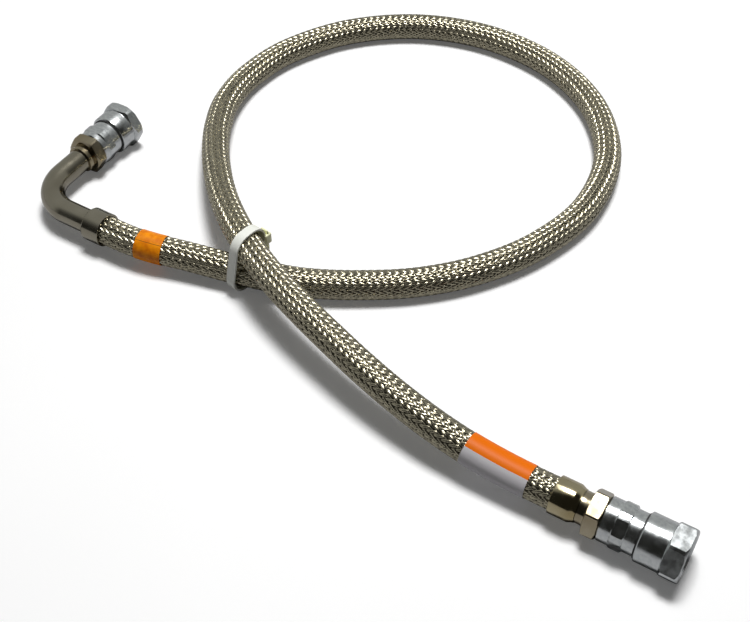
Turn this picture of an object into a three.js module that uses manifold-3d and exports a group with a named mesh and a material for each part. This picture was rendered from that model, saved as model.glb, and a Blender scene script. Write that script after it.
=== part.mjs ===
// Cryogenic compressor hose: a braided metal helium hose, straight at one end and with a
// 90 degree elbow at the other, each end in a self-sealing screw coupling.
// Millimetres, +Z up. The hose lies on the plane z = 0 in one loop that a cable tie holds
// where it crosses itself. +X runs out of the straight coupling, +Y out of the elbow's.
import * as THREE from 'three';
import { mergeVertices } from 'three/addons/utils/BufferGeometryUtils.js';
import Module from 'manifold-3d';

const wasm = await Module();
wasm.setup();

// Clearances
const seatGap = 0.3;            // between pieces that touch or seat
const wrapGap = 0.5;            // between the braid and what is wrapped round it
const cutOvershoot = 1;         // how far a cutting tool runs past the face it opens

// Facets
const outerSides = 24;
const innerSides = 16;
const hoseSides = 8;
const hoseSteps = 42;
const wrapSides = 14;
const labelSteps = 4;
const bandSteps = 2;
const elbowSides = 12;
const elbowSteps = 14;
const wireSides = 6;            // round the section of a wire or a small sealing ring
const springStepsPerTurn = 10;
const spiderHoleSides = 8;
const strapSteps = 16;          // round each post that the cable tie's strap is drawn over

// Hose
const boreRadius = 6.35;        // half of the 12.7 nominal bore
const hoseRadius = 9.75;        // outside of the braid
const braidWall = 0.9;
const innerHoseRadius = hoseRadius - braidWall - seatGap;
const hoseInsertion = 11;       // how far the hose runs into each ferrule

// Nuts and bodies, the same at both ends
const nutAcrossFlats = 30.2;
const nutRoundRadius = 14.5;
const nutCornerRadius = 16.9;
const nutMouthRadius = 15.4;
const nutChamfer = 1.6;
const threadBoreRadius = 12.3;
const mouthLeadIn = 0.8;
const nutLipLength = 5.2;       // plain bore behind the thread, which holds the retaining ring
const spigotRadius = 11;        // the body inside the nut
const seamWidth = 0.7;          // the dust ring's seam behind the nut
const dustRingRadius = 13.2;

// Retaining wire ring between nut and body
const wireRadius = 0.7;
const wireSetback = 2.6;        // from the nut's rear face

// Body
const sleeveRadius = 13;
const bodyHexAcrossFlats = 25.8;
const bodyHexCornerRadius = 13.8;
const neckRadius = 12.5;
const edgeBreak = 0.6;

// Adapter between hose and coupling
const adapterAcrossFlats = 25.4;
const adapterFaceRadius = 12.9;
const adapterCornerRadius = 14.4;
const adapterChamfer = 0.9;
const adapterThreadRadius = 8.8;
const seatWall = 1;             // in the body, between the adapter's thread and the valve's chamber

// Valve, the same at both ends. Set out from the body's front face.
const chamberRadius = 8.6;
const lipThickness = 2;
const valveTravel = 5.5;
const valveSleeveRadius = 7.3;
const valveSleeveBore = 5.3;
const valveFlangeLength = 2;
const valveProud = 1.5;         // sleeve and head stand this far out of the body
const headThickness = 3.4;
const stemRadius = 1.5;
const stemFootRadius = 2.4;
const spiderThickness = 2.2;
const spiderHoleRadius = 1.7;
const spiderHolePitch = 4.9;
const spiderHoles = 6;
const headSealRadius = 0.5;
const springWireRadius = 0.55;
const springTurns = 5;
const springReserve = 2.6;      // what the spring could still give with the sleeve pushed right back
const faceSealInner = 8.6;
const faceSealOuter = 9.7;
const faceSealDepth = 1;
const faceSealProud = 0.4;

// The chamber is as deep as the sleeve's flange, the closed spring, the travel and the spider need.
const closedSpring = 2 * springWireRadius * springTurns;
const chamberDepth = lipThickness + valveFlangeLength + valveTravel + closedSpring + springReserve
  + spiderThickness + 4 * seatGap;

// Straight end, along its axis. A hexagon's turn is in degrees from two level flats.
const straightEnd = {
  hexLength: 8.8, hexTurn: 15, sleeveLength: 7.1, bodyHexLength: 7.6, bodyHexTurn: -17,
  neckLength: 6.6, nutRoundLength: 14.4, nutHexLength: 11.5, faceSetback: 13.4,
};
const straightFerrule = { radius: 11.3, length: 12, coneLength: 3.4, coneRadius: 10 };
const straightNeckRadius = 9.6;
const straightNeckLength = 4.8;

// Elbow end, whose coupling is the shorter one
const elbowEnd = {
  hexLength: 7.6, hexTurn: 0, sleeveLength: 4.4, bodyHexLength: 6.6, bodyHexTurn: 0,
  neckLength: 6.6, nutRoundLength: 11.2, nutHexLength: 8.1, faceSetback: 10.8,
};
const elbowFerrule = { radius: 11.4, length: 14 };
const elbowTubeRadius = 8.25;
const elbowBendRadius = 28;
const elbowLeg = 63.2;          // from the ferrule's mouth to the corner of the centrelines
const elbowRise = 46;           // from that corner to the adapter's collar
const elbowSocketDepth = 3;
const elbowCollarRadius = 9.8;
const elbowCollarLength = 3.4;
const elbowGrooveRadius = 9.1;
const elbowGrooveLength = 1.6;

// Label and tape band, along the hose from a ferrule's mouth
const labelSetback = 14.9;      // from the straight ferrule
const labelLength = 40.5;
const labelWall = 0.3;
const bandSetback = 26;         // from the elbow ferrule
const bandLength = 18;
const bandWall = 0.3;

// Cable tie, drawn tight over the two strands where the hose crosses itself
const tiePlace = { x: -72.6, y: 0.2, heading: 82.2 };   // degrees from +X, the way its loop spreads
const tieWidth = 6.6;
const tieThickness = 1.2;
const tieHead = { width: 8.4, height: 8, depth: 5.4, bite: 0.9, belowStrand: 4.2 };
const tieTail = { width: 5.6, length: 4.2, outset: 3.2 };

// Route of the hose's middle, from the elbow ferrule's mouth to the straight one
const axisHeight = nutAcrossFlats / 2;
const elbowMouth = [-170.6, -21.5];
const straightMouth = [174.1, -56.7];
const route = [
  [elbowMouth[0] - hoseInsertion, elbowMouth[1], axisHeight],
  [elbowMouth[0], elbowMouth[1], axisHeight],
  [-151.5, -21, 15],
  [-133, -17.6, 14.1],
  [-111, -11.6, 12.9],
  [-86, -5.6, 11.7],
  [-60.5, 0.6, 11.4],
  [-34, 9.9, 10.6],
  [-3.5, 26.8, 9.9],
  [28, 49.3, 9.75],
  [56, 79.5, 9.75],
  [78.7, 119.5, 9.75],
  [90.6, 170, 9.75],
  [81.6, 226, 9.75],
  [49, 274, 9.75],
  [0, 304, 9.75],
  [-58, 312, 9.75],
  [-113, 297, 9.75],
  [-157.5, 262, 9.75],
  [-184.5, 215.5, 9.75],
  [-192.3, 172.5, 10.1],
  [-187, 136, 12.1],
  [-172.8, 105.3, 15.7],
  [-154, 77.4, 20],
  [-133.7, 53.2, 24.4],
  [-113.3, 32.8, 28],
  [-94, 17, 30.5],
  [-74.8, 3.8, 31.6],
  [-52.5, -8.8, 31.8],
  [-29.8, -19, 31.2],
  [-6.4, -27.7, 30],
  [17.2, -35.4, 28.3],
  [40, -42.2, 26.3],
  [64.5, -48.2, 23.8],
  [91, -53.1, 21],
  [116, -55.7, 18],
  [137, -56.5, 16],
  [156, -56.7, 15.1],
  [straightMouth[0], straightMouth[1], axisHeight],
  [straightMouth[0] + hoseInsertion, straightMouth[1], axisHeight],
];
const hoseCurve = new THREE.CatmullRomCurve3(
  route.map(([x, y, z]) => new THREE.Vector3(x, y, z)), false, 'catmullrom', 0.5);
hoseCurve.arcLengthDivisions = 800;
const hosePoints = hoseCurve.getSpacedPoints(hoseSteps);

// Materials
const finish = (color, roughness, metalness) =>
  new THREE.MeshStandardMaterial({ color, roughness, metalness });
const finishes = {
  braid: finish(0xa39f8c, 0.35, 1),
  innerHose: finish(0x8d8d88, 0.3, 1),
  stainless: finish(0x9b958a, 0.25, 1),
  goldSteel: finish(0xa89a6c, 0.25, 1),
  zinc: finish(0xc9cdd2, 0.25, 1),
  darkRubber: finish(0x151515, 0.6, 0),
  springSteel: finish(0x8f9296, 0.3, 1),
  nylon: finish(0xe9ebe3, 0.45, 0),
  label: finish(0xf0762a, 0.5, 0),
  tape: finish(0xf59a1c, 0.5, 0),
};

// Geometry helpers

function toSolid(geometry) {
  const bare = geometry.clone();
  bare.deleteAttribute('normal');
  bare.deleteAttribute('uv');
  const merged = mergeVertices(bare, 1e-4);
  return new wasm.Manifold(new wasm.Mesh({
    numProp: 3,
    vertProperties: Float32Array.from(merged.attributes.position.array),
    triVerts: Uint32Array.from(merged.index.array),
  }));
}

function toGeometry(solid) {
  const mesh = solid.getMesh();
  const geometry = new THREE.BufferGeometry();
  geometry.setAttribute('position', new THREE.BufferAttribute(Float32Array.from(mesh.vertProperties), 3));
  geometry.setIndex(new THREE.BufferAttribute(Uint32Array.from(mesh.triVerts), 1));
  geometry.computeVertexNormals();
  return geometry;
}

// A turned piece along +X. The profile lists [axial, radius]: outside from rear to front,
// then the bore from front to rear, or from axis to axis.
function turned(profile, sides = outerSides) {
  const points = profile.map(([axial, radius]) => new THREE.Vector2(radius, axial));
  if (profile[0][1] > 0) points.push(points[0].clone());
  return new THREE.LatheGeometry(points, sides).rotateZ(-Math.PI / 2);
}

// A hexagonal bar along +X from `start`. At a turn of 0 two flats are level.
function hexBar(acrossFlats, start, length, turn = 0) {
  const corner = acrossFlats / Math.sqrt(3);
  const outline = new THREE.Shape();
  for (let i = 0; i < 6; i += 1) {
    const angle = Math.PI / 6 + i * Math.PI / 3;
    const x = corner * Math.cos(angle);
    const y = corner * Math.sin(angle);
    if (i === 0) outline.moveTo(x, y);
    else outline.lineTo(x, y);
  }
  outline.closePath();
  return new THREE.ExtrudeGeometry(outline, { depth: length, bevelEnabled: false })
    .rotateY(Math.PI / 2).rotateX(THREE.MathUtils.degToRad(turn)).translate(start, 0, 0);
}

// A hexagon whose corners are turned off at both faces.
function chamferedHex({ acrossFlats, start, length, turn, faceRadius, chamfer, cornerRadius }) {
  const end = start + length;
  const turnedOff = turned([
    [start, 0], [start, faceRadius], [start + chamfer, cornerRadius],
    [end - chamfer, cornerRadius], [end, faceRadius], [end, 0],
  ]);
  return toSolid(hexBar(acrossFlats, start, length, turn)).intersect(toSolid(turnedOff));
}

function ringShape(outerRadius, innerRadius, sides) {
  const corners = (radius) => Array.from({ length: sides }, (unused, i) => {
    const angle = (2 * Math.PI * i) / sides;
    return new THREE.Vector2(radius * Math.cos(angle), radius * Math.sin(angle));
  });
  const shape = new THREE.Shape(corners(outerRadius));
  if (innerRadius > 0) shape.holes.push(new THREE.Path(corners(innerRadius)));
  return shape;
}

function tubeAlong(path, outerRadius, innerRadius, sides, steps) {
  return new THREE.ExtrudeGeometry(ringShape(outerRadius, innerRadius, sides), {
    steps, extrudePath: path, bevelEnabled: false,
  });
}

function addPiece(group, name, geometry, material) {
  const mesh = new THREE.Mesh(geometry, material);
  mesh.name = name;
  group.add(mesh);
  return mesh;
}

// A stretch of the hose's faceted middle line, from one share of its length to another.
class HoseStretch extends THREE.Curve {
  constructor(from, to) {
    super();
    this.from = from;
    this.to = to;
  }

  getPoint(t, target = new THREE.Vector3()) {
    const place = (this.from + (this.to - this.from) * t) * hoseSteps;
    const step = Math.min(Math.floor(place), hoseSteps - 1);
    return target.lerpVectors(hosePoints[step], hosePoints[step + 1], place - step);
  }
}

// The bent tube's middle: in along -X, round the corner, out along +Y.
class ElbowCurve extends THREE.Curve {
  constructor(inLeg, outLeg, radius) {
    super();
    this.inRun = inLeg - radius;
    this.outRun = outLeg - radius;
    this.radius = radius;
    this.inLeg = inLeg;
  }

  getPoint(t, target = new THREE.Vector3()) {
    const bend = this.radius * Math.PI / 2;
    const along = t * (this.inRun + bend + this.outRun);
    if (along <= this.inRun) return target.set(this.inLeg - along, 0, 0);
    const angle = (along - this.inRun) / this.radius;
    if (angle <= Math.PI / 2) {
      return target.set(this.radius * (1 - Math.sin(angle)), this.radius * (1 - Math.cos(angle)), 0);
    }
    return target.set(0, this.radius + along - this.inRun - bend, 0);
  }
}

class SpringCurve extends THREE.Curve {
  constructor(start, length, radius, turns) {
    super();
    Object.assign(this, { start, length, radius, turns });
  }

  getPoint(t, target = new THREE.Vector3()) {
    const angle = 2 * Math.PI * this.turns * t;
    return target.set(
      this.start + this.length * t, this.radius * Math.cos(angle), this.radius * Math.sin(angle));
  }
}

// Hose

function buildHose(group) {
  addPiece(group, 'inner_hose',
    tubeAlong(hoseCurve, innerHoseRadius, boreRadius, hoseSides, hoseSteps), finishes.innerHose);
  addPiece(group, 'braid_sleeve',
    tubeAlong(hoseCurve, hoseRadius, hoseRadius - braidWall, hoseSides, hoseSteps), finishes.braid);
}

// Ferrules, which clamp the braid on the hose's ends. Local +X leads away from the hose.

function buildStraightFerrule(group) {
  const { radius, length, coneLength, coneRadius } = straightFerrule;
  const braidBore = hoseRadius + seatGap;
  const stop = hoseInsertion + seatGap;
  const front = length + coneLength;
  const spigotBore = innerHoseRadius + seatGap;
  addPiece(group, 'straight_ferrule', turned([
    [0, radius - edgeBreak], [edgeBreak, radius], [length, radius], [front, coneRadius],
    [front, spigotBore], [stop, spigotBore], [stop, braidBore], [0, braidBore],
  ]), finishes.goldSteel);
}

function buildElbowFerrule(group) {
  const { radius, length } = elbowFerrule;
  const braidBore = hoseRadius + seatGap;
  const stop = hoseInsertion + seatGap;
  const tubeBore = elbowTubeRadius + seatGap;
  addPiece(group, 'elbow_ferrule', turned([
    [0, radius - edgeBreak], [edgeBreak, radius], [length - edgeBreak, radius],
    [length, radius - edgeBreak], [length, tubeBore], [stop, tubeBore],
    [stop, braidBore], [0, braidBore],
  ]), finishes.stainless);
}

// Stations along one coupling. `hexStart` is where the adapter's hexagon begins on the local X axis.

function couplingStations(end, hexStart) {
  const bodyRear = hexStart + end.hexLength + seatGap;
  const bodyHex = bodyRear + end.sleeveLength;
  const neck = bodyHex + end.bodyHexLength;
  const seam = neck + end.neckLength;
  const nutRear = seam + seamWidth;
  const wire = nutRear + wireSetback;
  const nutHex = nutRear + end.nutRoundLength;
  const nutFront = nutHex + end.nutHexLength;
  const face = nutFront - end.faceSetback;
  const chamberRear = face - chamberDepth;
  const socketEnd = chamberRear - seatWall;
  return {
    hexStart, bodyRear, socketEnd, bodyHex, neck, seam, nutRear, wire, nutHex, nutFront,
    chamberRear, face,
  };
}

// Adapters: hexagon and thread that carry the coupling body.

function adapterHexAndThread(end, at) {
  const hex = chamferedHex({
    acrossFlats: adapterAcrossFlats, start: at.hexStart, length: end.hexLength, turn: end.hexTurn,
    faceRadius: adapterFaceRadius, chamfer: adapterChamfer, cornerRadius: adapterCornerRadius,
  });
  const threadStart = at.hexStart + edgeBreak;
  const threadEnd = at.socketEnd - seatGap;
  const thread = turned([
    [threadStart, 0], [threadStart, adapterThreadRadius],
    [threadEnd - edgeBreak, adapterThreadRadius], [threadEnd, adapterThreadRadius - edgeBreak],
    [threadEnd, 0],
  ], innerSides);
  return hex.add(toSolid(thread));
}

// A hole on the axis. It opens the face at `end`, and at `start` too unless that is blind.
function drill(solid, start, end, radius) {
  const bit = turned([[start, 0], [start, radius], [end, radius], [end, 0]], innerSides);
  return solid.subtract(toSolid(bit));
}

function buildStraightAdapter(group, at) {
  const tip = hoseInsertion + seatGap;
  const shoulder = at.hexStart - straightNeckLength;
  const neck = turned([
    [tip, 0], [tip, innerHoseRadius], [shoulder, innerHoseRadius], [shoulder, straightNeckRadius],
    [at.hexStart + edgeBreak, straightNeckRadius], [at.hexStart + edgeBreak, 0],
  ]);
  const solid = toSolid(neck).add(adapterHexAndThread(straightEnd, at));
  const bored = drill(solid, tip - cutOvershoot, at.socketEnd + cutOvershoot, boreRadius);
  addPiece(group, 'straight_adapter', toGeometry(bored), finishes.goldSteel);
}

function buildElbowAdapter(group, at) {
  const mouth = elbowRise;
  const groove = mouth + elbowCollarLength;
  const collar = turned([
    [mouth, 0], [mouth, elbowCollarRadius - edgeBreak], [mouth + edgeBreak, elbowCollarRadius],
    [groove, elbowCollarRadius], [groove, elbowGrooveRadius],
    [at.hexStart + edgeBreak, elbowGrooveRadius], [at.hexStart + edgeBreak, 0],
  ]);
  const joined = toSolid(collar).add(adapterHexAndThread(elbowEnd, at));
  const socketRadius = elbowTubeRadius + seatGap;
  const socketed = drill(joined, mouth - cutOvershoot, mouth + elbowSocketDepth, socketRadius);
  const bored = drill(socketed, mouth, at.socketEnd + cutOvershoot, boreRadius);
  addPiece(group, 'elbow_adapter', toGeometry(bored), finishes.goldSteel);
}

function buildElbowTube(group) {
  const inLeg = elbowLeg - hoseInsertion - seatGap;
  const outLeg = elbowRise + elbowSocketDepth - seatGap;
  const path = new ElbowCurve(inLeg, outLeg, elbowBendRadius);
  addPiece(group, 'elbow_tube',
    tubeAlong(path, elbowTubeRadius, boreRadius, elbowSides, elbowSteps), finishes.stainless);
}

// Coupling

function buildBody(group, name, end, at) {
  const halfGroove = wireRadius + seatGap;
  const spigotMiddle = spigotRadius + seatGap / 2;
  const grooveFloor = spigotMiddle - halfGroove;
  const lipRear = at.face - lipThickness;
  const socketRadius = adapterThreadRadius + seatGap;
  const sealFloor = at.face - faceSealDepth - seatGap;
  const shell = turned([
    [at.bodyRear, sleeveRadius - edgeBreak], [at.bodyRear + edgeBreak, sleeveRadius],
    [at.bodyHex + edgeBreak, sleeveRadius], [at.bodyHex + edgeBreak, neckRadius],
    [at.seam, neckRadius], [at.seam, spigotRadius],
    [at.wire - halfGroove, spigotRadius], [at.wire - halfGroove, grooveFloor],
    [at.wire + halfGroove, grooveFloor], [at.wire + halfGroove, spigotRadius],
    [at.face - edgeBreak, spigotRadius], [at.face, spigotRadius - edgeBreak],
    [at.face, faceSealOuter + seatGap], [sealFloor, faceSealOuter + seatGap],
    [sealFloor, faceSealInner - seatGap], [at.face, faceSealInner - seatGap],
    [at.face, valveSleeveRadius + seatGap], [lipRear, valveSleeveRadius + seatGap],
    [lipRear, chamberRadius], [at.chamberRear, chamberRadius], [at.chamberRear, boreRadius],
    [at.socketEnd, boreRadius], [at.socketEnd, socketRadius], [at.bodyRear, socketRadius],
  ]);
  const hex = chamferedHex({
    acrossFlats: bodyHexAcrossFlats, start: at.bodyHex, length: end.bodyHexLength,
    turn: end.bodyHexTurn, faceRadius: bodyHexCornerRadius - edgeBreak, chamfer: edgeBreak,
    cornerRadius: bodyHexCornerRadius,
  });
  const coreRear = at.bodyHex - cutOvershoot;
  const coreFront = at.neck + cutOvershoot;
  const coreRadius = neckRadius - edgeBreak;
  const hexRing = hex.subtract(toSolid(turned([
    [coreRear, 0], [coreRear, coreRadius], [coreFront, coreRadius], [coreFront, 0],
  ])));
  addPiece(group, `${name}_coupling_body`, toGeometry(toSolid(shell).add(hexRing)), finishes.zinc);
}

function buildNut(group, name, end, at) {
  const spigotMiddle = spigotRadius + seatGap / 2;
  const halfGroove = wireRadius + seatGap;
  const rearBore = spigotRadius + seatGap;
  const grooveFloor = spigotMiddle + halfGroove;
  const lipEnd = at.nutRear + nutLipLength;
  const round = turned([
    [at.nutRear, nutRoundRadius - edgeBreak], [at.nutRear + edgeBreak, nutRoundRadius],
    [at.nutFront - edgeBreak, nutRoundRadius], [at.nutFront, nutRoundRadius - edgeBreak],
    [at.nutFront, threadBoreRadius + mouthLeadIn], [at.nutFront - mouthLeadIn, threadBoreRadius],
    [lipEnd, threadBoreRadius], [lipEnd, rearBore],
    [at.wire + halfGroove, rearBore], [at.wire + halfGroove, grooveFloor],
    [at.wire - halfGroove, grooveFloor], [at.wire - halfGroove, rearBore], [at.nutRear, rearBore],
  ]);
  const rearFace = nutRoundRadius + edgeBreak;
  const corners = turned([
    [at.nutHex, 0], [at.nutHex, rearFace], [at.nutHex + nutChamfer, nutCornerRadius],
    [at.nutFront - nutChamfer, nutCornerRadius], [at.nutFront, nutMouthRadius], [at.nutFront, 0],
  ]);
  const hex = toSolid(hexBar(nutAcrossFlats, at.nutHex, end.nutHexLength))
    .intersect(toSolid(corners));
  const hollowRear = at.nutHex - cutOvershoot;
  const hollowFront = at.nutFront + cutOvershoot;
  const hollowRadius = nutRoundRadius - edgeBreak;
  const hollow = turned([
    [hollowRear, 0], [hollowRear, hollowRadius], [hollowFront, hollowRadius], [hollowFront, 0],
  ]);
  const solid = toSolid(round).add(hex.subtract(toSolid(hollow)));
  addPiece(group, `${name}_union_nut`, toGeometry(solid), finishes.zinc);
}

function buildRings(group, name, at) {
  const spigotMiddle = spigotRadius + seatGap / 2;
  const wire = new THREE.TorusGeometry(spigotMiddle, wireRadius, wireSides, innerSides)
    .rotateY(Math.PI / 2).translate(at.wire, 0, 0);
  addPiece(group, `${name}_retaining_wire`, wire, finishes.springSteel);
  const ringBore = spigotRadius + seatGap;
  const ringRear = at.seam + seatGap / 2;
  const ringFront = at.nutRear - seatGap / 2;
  addPiece(group, `${name}_dust_ring`, turned([
    [ringRear, dustRingRadius], [ringFront, dustRingRadius],
    [ringFront, ringBore], [ringRear, ringBore],
  ]), finishes.darkRubber);
  const sealRear = at.face - faceSealDepth;
  addPiece(group, `${name}_face_seal`, turned([
    [sealRear, faceSealOuter], [at.face + faceSealProud, faceSealOuter],
    [at.face + faceSealProud, faceSealInner], [sealRear, faceSealInner],
  ], innerSides), finishes.darkRubber);
}

function buildValve(group, name, at) {
  const headRadius = valveSleeveBore - seatGap;
  const front = at.face + valveProud;
  const headRear = front - headThickness;
  const flangeFront = at.face - lipThickness - seatGap;
  const flangeRear = flangeFront - valveFlangeLength;
  const flangeRadius = chamberRadius - seatGap;
  const spiderRear = at.chamberRear + seatGap;
  const spiderFront = spiderRear + spiderThickness;
  const sealRing = headRadius - headSealRadius;
  const sealMiddle = headRear + headThickness / 2;
  const sealHalf = headSealRadius + seatGap;

  const stem = toSolid(turned([
    [spiderRear, 0], [spiderRear, flangeRadius], [spiderFront, flangeRadius],
    [spiderFront, stemFootRadius], [spiderFront + stemRadius, stemRadius],
    [headRear - stemRadius, stemRadius], [headRear, headRadius - edgeBreak],
    [headRear + edgeBreak, headRadius], [sealMiddle - sealHalf, headRadius],
    [sealMiddle - sealHalf, sealRing - sealHalf], [sealMiddle + sealHalf, sealRing - sealHalf],
    [sealMiddle + sealHalf, headRadius], [front - edgeBreak, headRadius],
    [front, headRadius - edgeBreak], [front, 0],
  ], innerSides));
  let spider = stem;
  for (let i = 0; i < spiderHoles; i += 1) {
    const angle = (2 * Math.PI * i) / spiderHoles;
    const hole = turned([
      [spiderRear - cutOvershoot, 0], [spiderRear - cutOvershoot, spiderHoleRadius],
      [spiderFront + cutOvershoot, spiderHoleRadius], [spiderFront + cutOvershoot, 0],
    ], spiderHoleSides);
    hole.translate(0, spiderHolePitch * Math.cos(angle), spiderHolePitch * Math.sin(angle));
    spider = spider.subtract(toSolid(hole));
  }
  addPiece(group, `${name}_valve_stem`, toGeometry(spider), finishes.goldSteel);

  const seal = new THREE.TorusGeometry(sealRing, headSealRadius, wireSides, innerSides)
    .rotateY(Math.PI / 2).translate(sealMiddle, 0, 0);
  addPiece(group, `${name}_valve_seal`, seal, finishes.darkRubber);

  addPiece(group, `${name}_valve_sleeve`, turned([
    [flangeRear, flangeRadius], [flangeFront, flangeRadius], [flangeFront, valveSleeveRadius],
    [front - edgeBreak, valveSleeveRadius], [front, valveSleeveRadius - edgeBreak],
    [front, valveSleeveBore], [flangeRear, valveSleeveBore],
  ], innerSides), finishes.zinc);

  const springStart = spiderFront + seatGap + springWireRadius;
  const springLength = flangeRear - seatGap - springWireRadius - springStart;
  const springRadius = chamberRadius - 2 * seatGap - springWireRadius;
  const path = new SpringCurve(springStart, springLength, springRadius, springTurns);
  addPiece(group, `${name}_valve_spring`,
    tubeAlong(path, springWireRadius, 0, wireSides, springTurns * springStepsPerTurn),
    finishes.springSteel);
}

function buildCoupling(group, name, end, at) {
  buildBody(group, name, end, at);
  buildNut(group, name, end, at);
  buildRings(group, name, at);
  buildValve(group, name, at);
}

// What is wrapped round the hose

// The two strands that pass nearest to the tie's middle, the lower one first, in the tie's own frame.
function tiedStrands() {
  const toTie = new THREE.Matrix4().makeRotationZ(THREE.MathUtils.degToRad(90 - tiePlace.heading))
    .multiply(new THREE.Matrix4().makeTranslation(-tiePlace.x, -tiePlace.y, 0));
  const points = hosePoints.map((point) => point.clone().applyMatrix4(toTie));
  const crossings = points.slice(1).flatMap((to, i) => {
    const from = points[i];
    const share = from.x / (from.x - to.x);
    const { y, z } = from.clone().lerp(to, share);
    return share >= 0 && share < 1 ? [{ y, z, slope: (to.y - from.y) / (to.x - from.x) }] : [];
  });
  const nearest = crossings.sort((a, b) => Math.abs(a.y) - Math.abs(b.y)).slice(0, 2);
  return nearest.sort((a, b) => a.z - b.z);
}

// The posts that a strand gives the strap: its slanting section is wider than it is high.
function strandPosts({ y, z, slope }) {
  const radius = hoseRadius + seatGap;
  const halfWidth = radius * Math.hypot(1, slope) + Math.abs(slope) * tieWidth / 2;
  const spread = halfWidth - radius;
  return [new THREE.Vector2(y - spread, z), new THREE.Vector2(y + spread, z)];
}

// A band drawn tight over equal posts, which are listed anticlockwise.
function bandRound(posts, radius) {
  const corners = [];
  posts.forEach((post, i) => {
    const before = posts.at(i - 1);
    const after = posts[(i + 1) % posts.length];
    const from = post.clone().sub(before).angle() - Math.PI / 2;
    const turn = after.clone().sub(post).angle() - Math.PI / 2 - from;
    const sweep = THREE.MathUtils.euclideanModulo(turn, 2 * Math.PI);
    const steps = Math.ceil(strapSteps * sweep / (2 * Math.PI));
    for (let step = 0; step <= steps; step += 1) {
      const angle = from + sweep * step / steps;
      corners.push(new THREE.Vector2(Math.cos(angle), Math.sin(angle)).multiplyScalar(radius).add(post));
    }
  });
  return corners;
}

// The tie in its own frame: +Y spreads the loop, +Z is up, +X is its width.
function buildCableTie(group) {
  const [lower, upper] = tiedStrands();
  const [lowerLeft, lowerRight] = strandPosts(lower);
  const [upperLeft, upperRight] = strandPosts(upper);
  const posts = [lowerLeft, lowerRight, upperRight, upperLeft];
  const inside = hoseRadius + seatGap;
  const outline = new THREE.Shape(bandRound(posts, inside + tieThickness));
  outline.holes.push(new THREE.Path(bandRound(posts, inside)));
  const strap = new THREE.ExtrudeGeometry(outline, { depth: tieWidth, bevelEnabled: false })
    .translate(0, 0, -tieWidth / 2).applyMatrix4(new THREE.Matrix4().makeBasis(
      new THREE.Vector3(0, 1, 0), new THREE.Vector3(0, 0, 1), new THREE.Vector3(1, 0, 0)));
  const side = upperRight.x + inside + tieThickness - tieHead.bite;
  const headHeight = upper.z - tieHead.belowStrand;
  const head = new THREE.BoxGeometry(tieHead.width, tieHead.depth, tieHead.height)
    .translate(0, side + tieHead.depth / 2, headHeight);
  const tail = new THREE.BoxGeometry(tieTail.width, tieThickness, tieHead.height + 2 * tieTail.length)
    .translate(0, side + tieTail.outset, headHeight - tieTail.length / 2);
  const solid = toSolid(strap).add(toSolid(head)).add(toSolid(tail));
  const tie = addPiece(group, 'cable_tie', toGeometry(solid), finishes.nylon);
  tie.position.set(tiePlace.x, tiePlace.y, 0);
  tie.rotation.z = THREE.MathUtils.degToRad(tiePlace.heading - 90);
}

function buildWraps(group) {
  const length = hoseCurve.getLength();
  const inside = (hoseRadius + wrapGap) / Math.cos(Math.PI / wrapSides);
  const labelEnd = length - hoseInsertion - labelSetback;
  const label = new HoseStretch((labelEnd - labelLength) / length, labelEnd / length);
  addPiece(group, 'hose_label',
    tubeAlong(label, inside + labelWall, inside, wrapSides, labelSteps), finishes.label);
  const bandStart = hoseInsertion + bandSetback;
  const band = new HoseStretch(bandStart / length, (bandStart + bandLength) / length);
  addPiece(group, 'tape_band',
    tubeAlong(band, inside + bandWall, inside, wrapSides, bandSteps), finishes.tape);
}

// Assembly

const hose = new THREE.Group();
buildHose(hose);
buildCableTie(hose);
buildWraps(hose);

const straight = new THREE.Group();
const straightShoulder = straightFerrule.length + straightFerrule.coneLength + seatGap;
const straightStations = couplingStations(straightEnd, straightShoulder + straightNeckLength);
straight.position.set(straightMouth[0], straightMouth[1], axisHeight);
buildStraightFerrule(straight);
buildStraightAdapter(straight, straightStations);
buildCoupling(straight, 'straight', straightEnd, straightStations);
hose.add(straight);

const leg = new THREE.Group();
leg.position.set(elbowMouth[0], elbowMouth[1], axisHeight);
leg.rotation.z = Math.PI;
buildElbowFerrule(leg);
hose.add(leg);

const corner = new THREE.Group();
corner.position.set(elbowMouth[0] - elbowLeg, elbowMouth[1], axisHeight);
buildElbowTube(corner);
hose.add(corner);

const riser = new THREE.Group();
const collarFront = elbowRise + elbowCollarLength;
const elbowStations = couplingStations(elbowEnd, collarFront + elbowGrooveLength);
riser.rotation.z = Math.PI / 2;
buildElbowAdapter(riser, elbowStations);
buildCoupling(riser, 'elbow', elbowEnd, elbowStations);
corner.add(riser);

export default hose;
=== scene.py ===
import math

import bpy
import numpy as np
from mathutils import Matrix, Vector


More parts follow.
